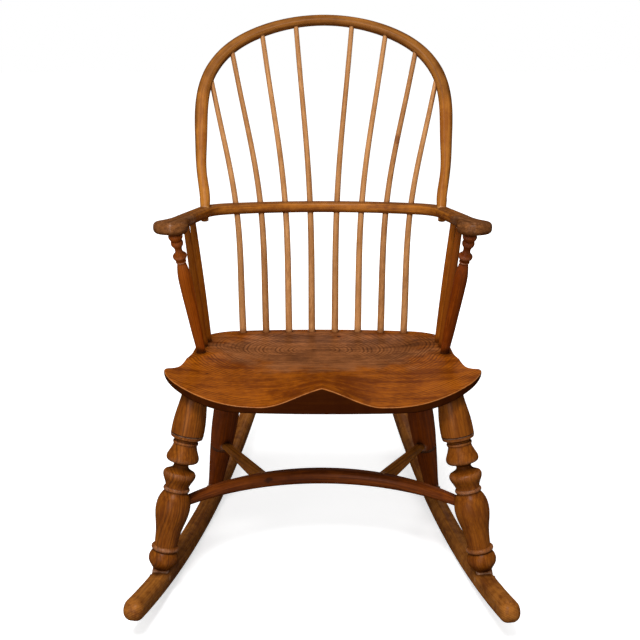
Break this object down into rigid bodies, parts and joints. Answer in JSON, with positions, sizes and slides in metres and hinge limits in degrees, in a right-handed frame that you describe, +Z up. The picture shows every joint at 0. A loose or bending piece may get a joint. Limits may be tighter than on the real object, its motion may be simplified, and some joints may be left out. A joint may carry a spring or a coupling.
{
  "type": "hoop back rocking chair",
  "caption": "Hoop back Windsor armchair on rockers: saddled wooden seat, bent arm bow, bent hoop with long spindles, turned legs and posts, bowed stretcher with spurs.",
  "frame": {"origin": "on the floor, in the chair's middle plane, midway between the front and rear ends of the rockers", "axes": "+Z up, +X to the right as seen from the front, so the chair faces -Y"},
  "size_m": [0.6668, 0.853, 1.0222],
  "materials": {
    "seat_wood": "satin wax",
    "hoop_wood": "satin wax",
    "arm_wood": "satin wax",
    "spindle_wood": "satin wax",
    "post_wood": "satin wax",
    "leg_wood": "satin wax",
    "stretcher_wood": "satin wax",
    "rocker_wood": "satin wax",
    "peg_wood": "satin wax"
  },
  "bodies": {
    "root": {"seat": "seat_wood", "back_hoop": "hoop_wood", "arm_bow": "arm_wood", "hand_pad_left": "arm_wood", "hand_pad_right": "arm_wood", "spindle_1": "spindle_wood", "spindle_2": "spindle_wood", "spindle_3": "spindle_wood", "spindle_4": "spindle_wood", "spindle_5": "spindle_wood", "spindle_6": "spindle_wood", "spindle_7": "spindle_wood", "spindle_8": "spindle_wood", "side_stick_front_left": "spindle_wood", "side_stick_front_right": "spindle_wood", "side_stick_rear_left": "spindle_wood", "side_stick_rear_right": "spindle_wood", "arm_post_left": "post_wood", "arm_post_right": "post_wood", "front_leg_left": "leg_wood", "front_leg_right": "leg_wood", "rear_leg_left": "leg_wood", "rear_leg_right": "leg_wood", "crinoline_stretcher": "stretcher_wood", "spur_left": "stretcher_wood", "spur_right": "stretcher_wood", "rocker_left": "rocker_wood", "rocker_right": "rocker_wood", "rocker_pegs": "peg_wood"}
  },
  "joints": []
}
